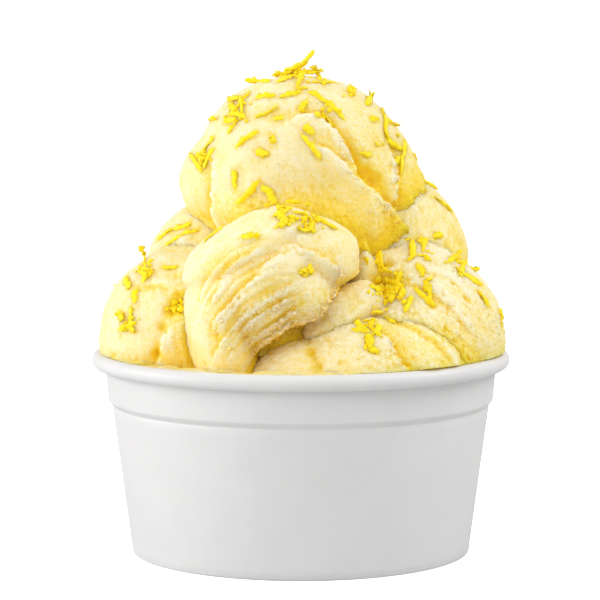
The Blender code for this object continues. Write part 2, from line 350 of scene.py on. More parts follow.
def makeCamera():
    data = bpy.data.cameras.new("camera")
    data.lens = camera["lens"]
    data.sensor_width = camera["sensor"]
    data.shift_x = camera["shift"]
    data.clip_start, data.clip_end = camera["clip"]
    made = bpy.data.objects.new("camera", data)
    made.location = (0, -camera["back"] * mm, camera["height"] * mm)
    made.rotation_euler = (math.radians(90 - camera["pitch"]), 0, 0)
    bpy.context.scene.collection.objects.link(made)
    bpy.context.scene.camera = made


makeCamera()


wallHigh = np.array(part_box("cup_wall")[1]) / mm
baseLow, baseHigh = (np.array(corner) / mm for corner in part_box("cup_base"))
rimRadius, rimTop = wallHigh[0], wallHigh[2]

cup = {
    "steps": 384,
    "longest": 1.6,
    "rollRadius": 1.76,
    "paper": 0.5,
    "collarTop": (43.05, 41.1),
    "collarBase": (42.5, 34.3),
    "bodyTop": (41.62, 32.4),
    "crease": (0.16, 0.8, 0.2),  # its depth, its place down the step and its width, as shares of the step
    "footRadius": 37.25,
    "footRounding": 0.45,
    "hemHeight": 4.2,
    "gap": 0.3,
    "baseRounding": (0.4, 0.3),
    "waves": [(0.05, 2, 0.7, 0.0), (0.03, 5, 2.1, 0.05)],  # height, number round the cup, start, lean
    "seamAt": 152.0,
    "seamWidth": 9.0,
    "seamStep": 0.32,
}


def arc(centreR, centreZ, radius, start, end, count):
    # points (r, z) on an arc, its angles in degrees from the outward direction
    a = np.radians(np.linspace(start, end, count))
    return np.stack([centreR + radius * np.cos(a), centreZ + radius * np.sin(a)], 1)


def level(start, end, z, count):
    # points (r, z) spaced evenly at one height
    return np.stack([np.linspace(start, end, count), np.full(count, z)], 1)


def turnPoints(profile, radiusAt=None):
    # the profile turned about Z, its radius changed by radiusAt(angle, r, z) where there is one
    angle = np.linspace(0, 2 * math.pi, cup["steps"], endpoint=False)[None, :]
    r, z = profile[:, 0][:, None], profile[:, 1][:, None]
    if radiusAt:
        r = radiusAt(angle, r, z)
    return np.stack([r * np.sin(angle), -r * np.cos(angle), z + 0 * angle], -1).reshape(-1, 3)


def turnClosed(profile):
    # the profile turned about Z, its first and last rings each joined to the axis by a fan of triangles
    steps = cup["steps"]
    points = np.concatenate([turnPoints(profile), [(0, 0, profile[0][1]), (0, 0, profile[-1][1])]])
    start = np.arange(steps)
    after = (start + 1) % steps
    last = (len(profile) - 1) * steps
    upper = np.stack([np.full(steps, len(points) - 2), start, after], 1)
    lower = np.stack([np.full(steps, len(points) - 1), last + after, last + start], 1)
    return points, [gridFaces(len(profile), steps)[:, ::-1], upper, lower]


def spread(outline, longest):
    # the outline with extra points, so that no piece is longer than this
    parts = []
    for a, b in zip(outline, np.roll(outline, -1, 0)):
        count = max(1, math.ceil(lengthOf(b - a) / longest))
        parts.append(a + (b - a) * np.linspace(0, 1, count, endpoint=False)[:, None])
    return np.concatenate(parts)


def wallOutline():
    # outside from the roll down, round the foot, up and over the hem, and up the inside
    board, gap = cup["paper"], cup["gap"]
    topR, topZ = cup["bodyTop"]
    baseR, baseZ = cup["collarBase"]
    foot, rounding = cup["footRadius"], cup["footRounding"]
    ringR, ringZ = rimRadius - cup["rollRadius"], rimTop - cup["rollRadius"]
    # the collar runs straight down, then a short rounded step leads back to the body, creased near its foot
    crease, creaseAt, creaseWide = cup["crease"]
    fall = np.linspace(0, 1, 15)
    step = (baseR - topR) * smooth(fall / 0.85) + crease * bell((fall - creaseAt) / creaseWide)
    steps = np.stack([baseR - step, baseZ - (baseZ - topZ) * fall], 1)
    collar = np.concatenate([[cup["collarTop"]], steps])
    hemOuter = foot - 2 * board - 2 * gap
    hemInner = hemOuter - board
    hemTop = cup["hemHeight"]
    slope = (topR - foot) / topZ
    roll = arc(ringR, ringZ, cup["rollRadius"], 90, -135, 40)
    turn = arc(foot - rounding, rounding, rounding, -20, -90, 5)
    hem = [(hemInner + rounding, 0.0), (hemInner, rounding), (hemInner, hemTop), (hemOuter, hemTop)]
    inside = [(hemOuter, board), (foot + slope * board - board, board)]
    tucked = arc(ringR, ringZ, cup["rollRadius"], 180, 96, 14)
    parts = [roll, collar, [(foot + slope * rounding, rounding)], turn, hem, inside]
    return spread(np.concatenate([*parts, collar[::-1] - (board, 0), tucked]), cup["longest"])


def wallRadius(angle, r, z):
    # board isn't quite round: slow waves under a tenth of a millimetre, and a lapped side seam whose outer
    # edge stands proud and dies away on its other side. Both fade out at the roll, the foot and the hem
    wave = sum(high * np.sin(count * angle + start + lean * z) for high, count, start, lean in cup["waves"])
    fromEdge = (np.degrees(angle) - cup["seamAt"]) / cup["seamWidth"]
    lap = smooth(fromEdge / 0.06) * smooth(1 - fromEdge)
    body = smooth((cup["collarTop"][1] - z) / 3) * smooth((z - 0.2) / 1.0)
    body *= smooth((r - cup["footRadius"] - 0.1) / 0.3 + 1)
    return r + (wave + cup["seamStep"] * lap) * body


def makeCup():
    outline = wallOutline()
    points = turnPoints(outline, wallRadius)
    faces = gridFaces(len(outline), cup["steps"], wrapRows=True)[:, ::-1]
    wall = makePiece("paper_wall", points, [faces], paper)
    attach(wall, "root")
    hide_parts("cup_wall")

    outer, inner = baseHigh[0], baseHigh[0] - cup["paper"]
    low, top = baseLow[2], baseHigh[2]
    under = top - cup["paper"]
    wide, narrow = cup["baseRounding"]
    outside = [(outer - wide, top), (outer, top - wide), (outer, low)]
    inside = [(inner, low), (inner, under - narrow), (inner - narrow, under)]
    rings = np.concatenate([level(1, outer - 1, top, 20), outside, inside, level(inner - 1, 1, under, 20)])
    points, faces = turnClosed(rings)
    base = makePiece("paper_base", points, faces, paper)
    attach(base, "root")
    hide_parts("cup_base")
    print("cup made")


makeCup()


# Scoops. Each is worked out in millimetres from its heart, a point given as shares of its CAD box.
#   lobes:   (centre, half sizes, lean about Y) of the soft balls that make it, which join over blend
#   folds:   (line, drop, run, ragged) torn layers. Beside the line, on the right of its travel, the sorbet
#            drops and comes back over run. A drop below zero lies on the left instead
#   grooves: (line, width, depth)
#   combs:   (first line, last line, count, width, depth) of grooves spaced evenly from one line to another
#   dents:   (across, up, width, depth), and a lump has a depth below zero
#   view:    the azimuth and elevation from which lines and dents are drawn, across and up
#   rough:   how icy the skin is, and how much more so to the lower right
#   gold:    how yellow its crests are. Shade and under add painted shade to that away from the light and
#            underneath, and close adds painted shade where another scoop is nearer than about closeTo
#   crease:  how deep the lobes' joins are, and weld: how near another scoop has to be to swell this one
#   pull:    the way the scoop was dragged, along which its skin is streaked
#   sheet:   squares along each of the six sheets, which gather towards open

scoops = {
    "scoop_top": {
        "heart": (0.5, 0.506, 0.4741), "open": (0.05, -0.28, 0.22), "sheet": 127, "seed": 11, "crease": 0.1,
        "blend": 0.9, "rough": (0.48, 0.15), "pull": (0.45, 0, -0.89), "gold": 0.28, "shade": 0.2,
        "under": 0.36, "close": 0.95, "closeTo": 4,
        "lobes": [
            ((-1, -2, 4), (22.3, 21.5, 21.2), 20), ((3.5, 2, 3), (20, 21, 22), 0),
            ((12.5, 3, -2), (14.4, 18, 19.2), 0), ((2.8, -3, -3), (20.2, 20.5, 17.5), 20),
            ((-14, -1, 3), (12.8, 14, 10.8), 0), ((-9, -9.5, -1.2), (10, 12, 6.2), 0),
        ],
        "folds": [
            ([(24.5, -14), (23, -10), (21, -4.6), (17, 0.6), (13.4, 4), (11.6, 7.5), (9.6, 11.6),
              (6.6, 15.4), (2.9, 17.5), (-0.8, 17.6), (-3.4, 16)], 2.2, 5.5, 0.4),
            ([(26.5, -15), (24, -10.2), (22, -6), (21.2, -2), (20.8, 2.5), (20.4, 7), (18.6, 12)], 2.3, 5.5,
              0.3),
            ([(15, 1.4), (12.6, 4), (10, 7.2), (7.4, 9.6), (4.6, 11.5), (1.6, 12.4)], 1.1, 4.5, 0.45),
            ([(-19.4, 8), (-19.2, 3), (-19.3, -1.5), (-18.8, -5), (-17, -8)], 1.2, 4, 0.25),
            ([(-17, -6.5), (-13, -7.4), (-6, -8.4), (2, -8.4)], 0.7, 4, 0.35),
        ],
        "grooves": [
            ([(9.6, 15.8), (11, 11.8), (12.2, 8.4), (13.6, 5.4), (15.8, 2.6)], 0.9, 0.9),
            ([(2.9, 14.2), (6, 12.6), (8.8, 10.2)], 1.3, 0.35),
        ],
        "dents": [(16, 3.8, 1.9, 1.2), (14.6, 6, 1.3, 0.6), (19.4, 4, 1.2, -0.5), (19.8, -0.5, 1.2, -0.4)],
    },
    "scoop_front_left": {
        "heart": (0.4814, 0.5218, 0.3876), "open": (0, -0.42, 0.1), "sheet": 127, "seed": 23, "crease": 0,
        "blend": 1.8, "weld": 1.5, "rough": (0.55, 0.25), "pull": (0.57, 0, 0.82), "gold": 0.24,
        "shade": 0.26, "close": 0.75,
        "lobes": [
            ((-2.4, -1, 6.2), (17, 16, 11.8), -48), ((-4.2, -0.5, 13), (14.6, 14.5, 8), -29),
            ((9, 1, 12.4), (10.6, 12, 9), -3), ((-8.6, 0, -3.6), (7.6, 15.5, 18.6), -5),
            ((2, 3, -7), (9.5, 9.5, 9.5), 0), ((6.6, -1, 5.4), (7.6, 13, 7), -20),
        ],
        "folds": [
            ([(9.6, -1.4), (12.4, 1.4), (13.8, 4.8), (14.9, 8), (14.6, 10.8), (12.8, 13.2), (9.4, 15),
              (4.6, 16.6), (-1, 16.8)], 0.8, 5, 0.45),
            ([(0.6, 17), (-3.6, 15.8), (-6.1, 14.1), (-8.3, 12), (-10, 9.5), (-11.4, 5.5), (-12.4, 0.6)],
              0.45, 2.8, 0.25),
            ([(7, 15.4), (3.8, 14.9), (0.6, 13.7), (-1.9, 11.3), (-5.7, 7.1), (-10, 2.5), (-11.4, -0.6),
              (-12.4, -4.2)], 0.8, 3.2, 0.35),
            ([(7.6, 9.4), (3.2, 7.8), (0.2, 6.7), (-2.5, 4.8), (-5.1, 2.3), (-9.5, -2.7), (-11.2, -6.1),
              (-12, -9.6)], 0.8, 3, 0.35),
            ([(10.2, 7.2), (5.3, 5.9), (2.8, 5), (-0.2, 3.4), (-3.2, 1.1), (-5.7, -1.5), (-7.8, -4),
              (-10, -7.6)], 0.5, 2.4, 0.4),
            ([(11, 5), (5.7, 3.4), (1.7, 0.4), (-1.5, -1.1), (-4, -2.9), (-6.1, -4.4), (-8.1, -6.5),
              (-9.4, -10)], 0.7, 2.8, 0.45),
            ([(-7.2, -13.5), (-3.6, -8.4), (-0.2, -4.2), (3.4, -1.6), (6.6, -0.2), (9.8, 0.6), (12, 2.6),
              (14.6, 6.2), (18.5, 9), (22, 11)], 3.4, 16, 0.7),
        ],
        "grooves": [
            ([(-5.7, 17), (-9.5, 14.9), (-12.1, 12.4), (-13.8, 9.5), (-15.1, 4)], 0.8, 0.35),
        ],
        "combs": [
            ([(4, 18), (-3.4, 17.4), (-9.6, 13.8), (-13.8, 8), (-15.6, 0.6)],
             [(10.4, 2.6), (5.4, 1.4), (1.2, -1.4), (-2.6, -4.4), (-5.8, -9)], 12, 0.55, 0.48),
        ],
        "dents": [(7.5, 11, 1.2, 0.4), (-11, -2, 1.2, 0.5)],
    },
    "scoop_front_right": {
        "heart": (0.486, 0.5489, -0.0142), "open": (0.1, -0.4, 0.5), "sheet": 118, "seed": 31,
        "crease": 0.25, "blend": 0.8, "weld": 1.5, "rough": (0.8, 0.15), "pull": (0.8, 0, -0.6),
        "gold": 0.31, "shade": 0.26, "close": 0.6,
        "lobes": [
            ((-9.5, -3.2, -9.4), (18.2, 15.2, 19.6), -36), ((8.4, -0.5, -4.8), (15.6, 16, 19.4), -5),
            ((-0.6, -3, -0.6), (15, 15, 15), 0),
        ],
        "folds": [
            ([(5.5, 15), (8.6, 13.8), (11.7, 12.3), (16.3, 8.8), (20, 3.5)], 0.9, 4.5, 0.4),
            ([(10.5, 2), (8.6, 6.2), (6, 10), (3, 12.6)], 0.9, 4, 0.5),
        ],
        "grooves": [
            ([(-12.5, 9.5), (-9.5, 5.5), (-7.5, 2.5)], 0.9, 0.4),
        ],
        "dents": [(-11, 8, 1.1, 0.5), (-9.3, 5.6, 1, 0.5), (-4.8, 6.4, 1.1, 0.4), (3.2, 12.4, 1.6, 0.4)],
    },
    "scoop_right": {
        "heart": (0.4826, 0.5153, 0.2811), "open": (0.35, -0.25, 0.3), "sheet": 118, "seed": 43,
        "crease": 0.1, "blend": 1.2, "rough": (0.75, 0.15), "pull": (0.72, 0, -0.7), "gold": 0.23,
        "shade": 0.28, "under": 0.12, "close": 0.9,
        "lobes": [
            ((0.5, -1, -0.5), (19.8, 20, 20.3), 0), ((-9.6, -6, 14.4), (2.6, 4.2, 5.4), 0),
            ((-13.8, -16, 6.4), (10.8, 8, 5.4), -40), ((-4, -9.5, 0.5), (12, 9.5, 8.5), 18),
        ],
        "folds": [
            ([(-3, 14), (3, 12), (8.5, 7.5), (12.5, 1.5)], 0.55, 4, 0.45),
            ([(2, 15.8), (8, 13.6), (13.5, 8)], 0.4, 3, 0.4),
        ],
        "grooves": [
            ([(-8, 14.4), (-7.2, 12.4), (-6.4, 10.2)], 1.1, 1.2),
            ([(-16.5, 6), (-13, 9), (-9, 10.6)], 0.8, 0.25),
        ],
        "dents": [
            (-5.2, 13.2, 2.6, 2.4), (-8.2, 14, 1.8, 1.4), (-6.2, 16.8, 1.6, 1.8), (3.5, 9.5, 1.3, 0.3),
        ],
    },
    "scoop_left": {
        "heart": (0.5335, 0.5264, 0.2266), "open": (-0.3, -0.3, 0.3), "sheet": 118, "seed": 59,
        "crease": 0.3, "blend": 0.8, "rough": (0.5, 0.3), "pull": (-0.2, 0, 0.98), "gold": 0.31,
        "under": 0.34, "close": 0.9,
        "lobes": [
            ((-1, -1, 1.6), (19, 20, 20), -8), ((-3, -11, 0), (8, 9, 10), 10),
        ],
        "folds": [
            ([(-9, -8.5), (-7.2, -3.5), (-6.4, 0), (-5.2, 3.5), (-3.4, 7.5)], -0.9, 4.5, 0.5),
            ([(-7.6, -2.6), (-5, -3.6), (-3.6, -6.5)], 0.8, 2.5, 0.4),
            ([(-11.5, 13.6), (-7.5, 14.8), (-3.2, 14)], 0.4, 3, 0.4),
        ],
        "grooves": [
            ([(0.6, 9.5), (0.2, 3.5), (0.8, -3)], 1, 0.8),
        ],
        "dents": [
            (-3.6, 9.8, 1.6, 1.1), (-1.4, 12, 1.4, 1), (-0.6, 9.6, 1.3, 1), (-2.2, 10.4, 2, 0.7),
            (-5.6, 6.4, 1, 0.7), (-6.9, 0.5, 1.1, 0.9), (-16, -1, 1.1, 0.5), (-4.3, 4, 1.8, -0.5),
        ],
    },
    "scoop_back_left": {
        "heart": (0.5257, 0.4301, 0.3855), "open": (-0.35, 0.35, 0.2), "sheet": 104, "seed": 67,
        "crease": 0.3, "blend": 0.6, "rough": (0.5, 0.3), "pull": (-0.5, 0, 0.86), "view": (-140, 15),
        "gold": 0.32,
        "lobes": [
            ((-1.6, -1, 5.4), (16.3, 20, 17.6), 0), ((-1, 5, -7), (19, 20, 18), 0),
        ],
        "folds": [
            ([(-12, 6), (-6, 11), (1, 13.5), (8, 12)], -1.3, 5, 0.45),
            ([(-14, -1), (-7, 4), (0, 6.5), (8, 6)], -1.1, 4, 0.45),
            ([(-11, -6), (-4, -1.5), (4, 0.5)], -0.9, 3.5, 0.45),
        ],
        "dents": [(9, -3, 2, 0.9), (-3, 9, 1.6, 0.6)],
    },
    "scoop_back_right": {
        "heart": (0.4724, 0.4518, 0.3847), "open": (0.35, 0.35, 0.2), "sheet": 104, "seed": 71,
        "crease": 0.3, "blend": 0.6, "rough": (0.5, 0.2), "pull": (0.4, 0.3, 0.86), "view": (125, 10),
        "gold": 0.32,
        "lobes": [
            ((2, -2, 6.5), (17.4, 19, 20), 0), ((1, 5, -8), (18.5, 19, 19), 0),
        ],
        "folds": [
            ([(-10, 12), (-4, 7), (1, 0), (3, -8)], 1.3, 5, 0.45),
            ([(-3, 16), (3, 10), (8, 2), (9.5, -6)], 1.2, 4.5, 0.45),
            ([(5, 15), (10, 8), (13, 0)], 0.9, 3.5, 0.4),
        ],
        "dents": [(-6, 0, 2.2, 1), (6, -10, 1.8, 0.8)],
    },
    "scoop_back": {
        "heart": (0.458, 0.5122, 0.2339), "open": (0, 0.45, 0.3), "sheet": 104, "seed": 83, "crease": 0.4,
        "blend": 0.6, "rough": (0.75, 0.2), "pull": (0.75, 0, 0.65), "view": (180, 15), "shade": 0.3,
        "lobes": [
            ((-4, -1, -1), (16, 16, 20), -15), ((7, 0, -2), (14, 15.5, 18), 15),
            ((0, -8, 6), (12, 9, 9), 0),
        ],
        "folds": [
            ([(-13, -3), (-8, 6), (0, 11), (9, 12)], 1.2, 4.5, 0.45),
            ([(-8, -6), (-3, 2), (4, 6), (12, 6)], 1, 3.5, 0.5),
            ([(-2, -6), (5, 0), (13, 1)], 0.8, 3, 0.5),
        ],
        "dents": [(-10, 10, 1.8, 0.8), (14, 8, 1.5, 0.6)],
    },
}

# What a scoop has where it doesn't say otherwise
usual = {
    "view": (0, 0), "gold": 0.26, "shade": 0.46, "under": 0.10, "close": 0.55, "closeTo": 2.7, "weld": 5.0,
    "grooves": [], "combs": [],
}
for scoop in scoops.values():
    for key, value in usual.items():
        scoop.setdefault(key, value)

skin = {
    # relief is (size, height, how much its crests take off the gold), and for pits how much they add to it.
    # Paler crests are
    #     # partly the white of ice and partly painted highlight, and the gold in pits, creases, folds,
    #     grooves, dents and low at
    #     # the rim is painted shade
    "creaseWidth": 1.1,
    "creaseGold": 0.40,
    "lineSteps": 28,
    "wall": 0.9,
    "lip": (0.22, 1.4),
    "foldGold": (0.54, 0.30),
    "grooveGold": 0.5,
    "dentGold": 0.85,
    "slow": (13.0, 0.45),
    "lumps": (5.2, 0.30, 0.14),
    "streaks": (1.7, 0.16, 0.14),
    "stretch": 0.7,
    "coarse": (1.20, 0.36, 0.36),
    "fine": (0.66, 0.22, 0.24),
    "pits": (1.9, 0.30, 0.30),
    "wander": (4.6, 0.50),
    "frayed": 1.2,
    "edgeTorn": 0.6,
    "icyWay": (0.55, -0.1, -0.45),
    "icyPatches": (9.0, 0.30),
    "icyTorn": 0.9,
    "icyLimits": (0.15, 1.6),
    "lightFrom": (-0.58, -0.25, 0.775),
    "rimGold": 0.20,
}


def heartOf(name):
    low, high = (np.array(corner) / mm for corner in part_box(name))
    return low + (high - low) * scoops[name]["heart"]


def plainReach(scoop, directions):
    # how far the lobes reach from the heart: each ray leaves an ellipsoid at the larger root of its quadratic
    # and fades out where it only grazes, the lobes join by the log of their summed exponentials, and a crease
    # marks where the two longest are level
    exits = []
    for centre, halfSizes, lean in scoop["lobes"]:
        a = math.radians(lean)
        turn = np.array([[math.cos(a), 0, math.sin(a)], [0, 1, 0], [-math.sin(a), 0, math.cos(a)]])
        ray = directions @ turn / halfSizes
        start = -np.array(centre) @ turn / halfSizes
        square, half = (ray * ray).sum(1), ray @ start
        inside = half * half - square * (start @ start - 1)
        graze = smooth(inside * max(start @ start, 1) / (0.5 * half * half + 1e-9))
        exits.append(graze * (np.sqrt(np.maximum(inside, 0)) - half) / square)
    exits = np.sort(exits, axis=0)
    blend = scoop["blend"]
    soft = exits[-1] + blend * np.log(np.exp((exits - exits[-1]) / blend).sum(0))
    crease = bell((exits[-1] - exits[-2]) / skin["creaseWidth"])
    return soft - scoop["crease"] * crease, crease


def gapsBetween(name, points):
    # how far each point lies outside the nearest other scoop, along that scoop's own ray
    gaps = np.full(len(points), 99.0)
    for other in scoops:
        if other != name:
            away = points - heartOf(other)
            gaps = np.minimum(gaps, lengthOf(away) - plainReach(scoops[other], unit(away))[0])
    return gaps


def landOn(scoop, spots, view):
    # where a line seen end-on at each spot first meets the plain shape, searched from 36 before the heart to
    # 4 behind it. One that misses stops where it comes closest, and the last array says which met it
    depth = np.linspace(36, -4, 161)
    points = (spots @ view[:2])[:, None, :] + depth[:, None] * view[2]
    out = lengthOf(points)
    above = out - plainReach(scoop, unit(points).reshape(-1, 3))[0].reshape(out.shape)
    met = (above < 0).any(1)
    pick = np.where(met, (above < 0).argmax(1), above.argmin(1))
    return points[np.arange(len(spots)), pick], met


def besideLine(points, curve, within):
    # the points near a curve on the surface, how far each lies to the right of it, and how far along, 0 to 1
    near = ((points > curve.min(0) - within) & (points < curve.max(0) + within)).all(1)
    which = np.flatnonzero(near)
    start, span = curve[:-1], np.diff(curve, axis=0)
    along = np.clip(((points[which][:, None] - start) * span).sum(2) / (span * span).sum(1), 0, 1)
    gap = points[which][:, None] - (start + along[..., None] * span)
    distance = lengthOf(gap)
    best = distance.argmin(1)
    row = np.arange(len(which))
    toRight = (gap[row, best] * np.cross(span[best], points[which])).sum(1)
    side = np.where(toRight < 0, -1.0, 1.0)
    return which, side * distance[row, best], (best + along[row, best]) / len(span)


def scoopSurface(name, directions):
    # the reach in each direction with all its relief, its goldAndShade, 0 on a crest to 1 deep in a crease,
    # partly the
    #     # sorbet's own tone and partly painted shade, and how torn it is. Where another scoop is near, the
    #     skin swells
    #     # towards it by a quarter of the weld times the square of the share of the weld left, the fillet of
    #     a soft union
    scoop = scoops[name]
    seed = scoop["seed"]
    plain, crease = plainReach(scoop, directions)
    points = directions * plain[:, None]
    gaps = gapsBetween(name, heartOf(name) + points)
    view = facing(*scoop["view"])
    wanderSize, wanderBy = skin["wander"]
    wander = wanderBy * noise(points, wanderSize, seed)
    frayed = noise(points, skin["frayed"], seed + 1)
    weld = scoop["weld"]
    height = weld / 4 * np.clip(1 - np.maximum(gaps, 0) / weld, 0, 1) ** 2
    # the scoop's own gold, with painted shade along the joins between its lobes
    goldAndShade = scoop["gold"] + skin["creaseGold"] * crease * min(1.0, scoop["crease"] * 2)
    torn = skin["edgeTorn"] * bell((gaps - 1.0) / 1.6)

    def lineOn(line):
        return landOn(scoop, line, view)[0]

    lipHigh, lipBack = skin["lip"]
    goldBelow, goldOff = skin["foldGold"]
    for line, drop, run, ragged in scoop["folds"]:
        # the layer's edge is a smooth step, and what lies beside it rises back by the square of what is left
        #         # of its run. A lip stands along the edge, and gold is painted below it as the shade in the
        #         drop
        curve = lineOn(smoothLine(line, skin["lineSteps"]))
        which, across, along = besideLine(points, curve, run + 3)
        drop, side = abs(drop), 1 if drop > 0 else -1
        across = side * across + wander[which] + ragged * frayed[which]
        ends = smooth(along / 0.2) * smooth((1 - along) / 0.2)
        wall = smooth(across / skin["wall"] + 0.5)
        left = np.clip(1 - across / run, 0, 1) ** 2
        lip = lipHigh * (1 - wall) * np.exp(np.minimum(across, 0) / lipBack)
        height[which] += drop * ends * (lip - wall * left)
        wide = 0.55 + 0.55 * drop
        below = goldBelow * bell((across - 0.45 * wide) / wide) - goldOff * bell((across + 0.9) / 0.9)
        goldAndShade[which] += ends * min(1.0, 0.40 + 0.35 * drop) * below
        edge = ends * min(1.0, 0.3 + 0.5 * drop) * bell((across + 0.6) / 1.3)
        torn[which] = np.maximum(torn[which], edge)

    grooves = [(smoothLine(line, skin["lineSteps"]), width, depth) for line, width, depth in scoop["grooves"]]
    for first, last, count, width, depth in scoop["combs"]:
        first, last = smoothLine(first, skin["lineSteps"]), smoothLine(last, skin["lineSteps"])
        for share in np.linspace(0, 1, count):
            grooves.append((first + (last - first) * share, width, depth))
    for line, width, depth in grooves:
        which, across, along = besideLine(points, lineOn(line), 3 * width + 1)
        ends = smooth(along / 0.3) * smooth((1 - along) / 0.3)
        shape = ends * bell((across + wander[which] + 0.3 * frayed[which]) / width)
        height[which] -= depth * shape
        # gold painted into the groove as its shade
        goldAndShade[which] += min(0.7, skin["grooveGold"] * depth) * shape

    for a, b, width, depth in scoop["dents"]:
        spot = lineOn(np.array([(a, b)]))
        shape = bell((lengthOf(points - spot) + 0.6 * width * wander + 0.25 * width * frayed) / width)
        height -= depth * shape
        # gold painted into each dent as its shade, in step with its depth; a lump is made paler instead
        goldAndShade += skin["dentGold"] * depth * shape

    icy, slope = scoop["rough"]
    patchSize, patchShare = skin["icyPatches"]
    icy = icy + slope * (directions @ skin["icyWay"]) + patchShare * noise(points, patchSize, seed + 2)
    icy = np.clip(icy + skin["icyTorn"] * torn, *skin["icyLimits"])
    pull = np.array(scoop["pull"])
    drawn = points - skin["stretch"] * (points @ pull)[:, None] * pull
    lumpSize, lumpHigh, lumpGold = skin["lumps"]
    streakSize, streakHigh, streakGold = skin["streaks"]
    pitSize, pitDeep, pitGold = skin["pits"]
    coarseSize, coarseHigh, coarseGold = skin["coarse"]
    fineSize, fineHigh, fineGold = skin["fine"]
    streaks = noise(drawn, streakSize, seed + 4)
    lumps = noise(points, lumpSize, seed + 3)
    pits = smooth((noise(points, pitSize, seed + 8) - 0.55) / 0.35)
    coarse = grains(points, coarseSize, seed + 5) - 0.55
    fine = grains(points, fineSize, seed + 6) - 0.55
    height += skin["slow"][1] * noise(points, skin["slow"][0], seed + 7)
    height += lumpHigh * lumps + streakHigh * (0.5 + icy) * streaks
    height += icy * (coarseHigh * coarse + fineHigh * fine - pitDeep * pits)
    # raised grains, lumps and streaks are made paler and pits more golden: partly the white of ice, and
    # partly painted highlight on the crests and painted shade in the hollows
    pale = icy * (coarseGold * coarse + fineGold * fine - pitGold * pits)
    goldAndShade -= lumpGold * lumps + streakGold * streaks + pale
    return plain + height, goldAndShade, torn + 0.35 * icy


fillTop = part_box("sorbet_fill")[1].z / mm

inCup = {
    "clear": 0.08,        # between sorbet and roll
    "wallClear": 0.6,     # from the collar's outside
    "opening": 3.0,       # how fast the room widens above the roll
    "squeezeTop": 1.7,    # above the rim, down from which the sorbet is squeezed out to the roll
    "squeezeOver": 1.8,
    "squeezeFrom": 5.0,   # in from the widest radius
    "squeezeIn": 3.5,
    "meets": 0.4,         # inside the middle of the roll
    "sunk": 3.0,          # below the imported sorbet
}


def insideCup(points):
    # sorbet stays inside the wall and its roll: a point comes in to the widest radius at its height, what is
    # near the wall below the rim is squeezed out to it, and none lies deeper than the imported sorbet
    ringR, ringZ = rimRadius - cup["rollRadius"], rimTop - cup["rollRadius"]
    reach = cup["rollRadius"] + inCup["clear"]
    z, opening = points[:, 2], inCup["opening"]
    up = z - ringZ
    widest = ringR - np.sqrt(np.clip(reach ** 2 - np.maximum(up, 0) ** 2, 0, None))
    widest += opening * np.maximum(up - reach, 0)
    collarR, collarZ = cup["collarTop"]
    widest = np.minimum(widest, collarR - inCup["wallClear"] + opening * np.maximum(z - collarZ, 0))
    r = lengthOf(points[:, :2])
    squeezed = smooth((rimTop + inCup["squeezeTop"] - z) / inCup["squeezeOver"])
    squeezed *= smooth((r - widest + inCup["squeezeFrom"]) / inCup["squeezeIn"])
    target = np.minimum(widest, ringR - inCup["meets"])
    share = 1 + np.maximum(target / np.maximum(r, 1) - 1, 0) * squeezed
    share = np.minimum(share, widest / np.maximum(r, 1e-6))
    return np.stack([points[:, 0] * share, points[:, 1] * share, np.maximum(z, fillTop - inCup["sunk"])], 1)


def normalsOf(points, faces):
    # each corner's normal, summed from the crossed diagonals of the squares round it
    a, b, c, d = (points[faces[:, i]] for i in range(4))
    across = np.cross(c - a, d - b)
    corner = faces.ravel()
    total = np.stack([np.bincount(corner, np.repeat(across[:, i], 4), len(points)) for i in range(3)], 1)
    return total / np.maximum(lengthOf(total), 1e-9)[:, None]


def paintedShadeOf(scoop, points, directions, gaps):
    # painted shade added to the goldAndShade: near another scoop, more so in shade, low at the rim, away from
    # the light,
    #     # and underneath
    rimGap = lengthOf(points[:, :2]) - (rimRadius - 2 * cup["rollRadius"])
    close = bell(np.maximum(gaps, 0) / scoop["closeTo"])
    low = bell(np.maximum(points[:, 2] - rimTop, 0) / 1.6) * smooth(rimGap / 3 + 1)
    shade = smooth((0.75 - directions @ skin["lightFrom"]) / 1.3)
    under = smooth((0.10 - directions[:, 2]) / 0.75)
    close *= 0.25 + 0.75 * shade
    return scoop["close"] * close + skin["rimGold"] * low + scoop["shade"] * shade + scoop["under"] * under


heap = {}


def makeScoops():
    for name, scoop in scoops.items():
        ball, faces = ballGrid(scoop["sheet"])
        directions = unit(ball + scoop["open"])
        reach, goldAndShade, torn = scoopSurface(name, directions)
        points = insideCup(heartOf(name) + directions * reach[:, None])
        gaps = gapsBetween(name, points)
        goldAndShade = np.clip(goldAndShade + paintedShadeOf(scoop, points, directions, gaps), 0, 1)
        piece = makePiece(name.replace("scoop", "sorbet"), points, [faces], sorbet, {"goldAndShade": goldAndShade})
        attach(piece, "root")
        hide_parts(name)
        inView = (gaps > 0.3) & (points[:, 2] > rimTop + 0.5)
        normals = normalsOf(points, faces)
        heap[name] = {
            "points": points,
            "normals": normals,
            "goldAndShade": goldAndShade,
            "crumbly": torn * inView * smooth(0.3 - normals @ skin["lightFrom"]),
            "open": inView * smooth((gaps - 1.5) / 5),
        }
        print(name, "made", len(faces) * 2, "triangles")


makeScoops()


packed = {
    "crown": (4.2, 33.0, 6.0),  # how high it rises towards the wall, from what radius, and over how much
    "bumps": [(6.0, 0.60, 5), (2.4, 0.35, 6)],
    "grains": (1.2, 0.25, 7),
    "clear": 0.25,
    "edgeClear": 0.3,
}


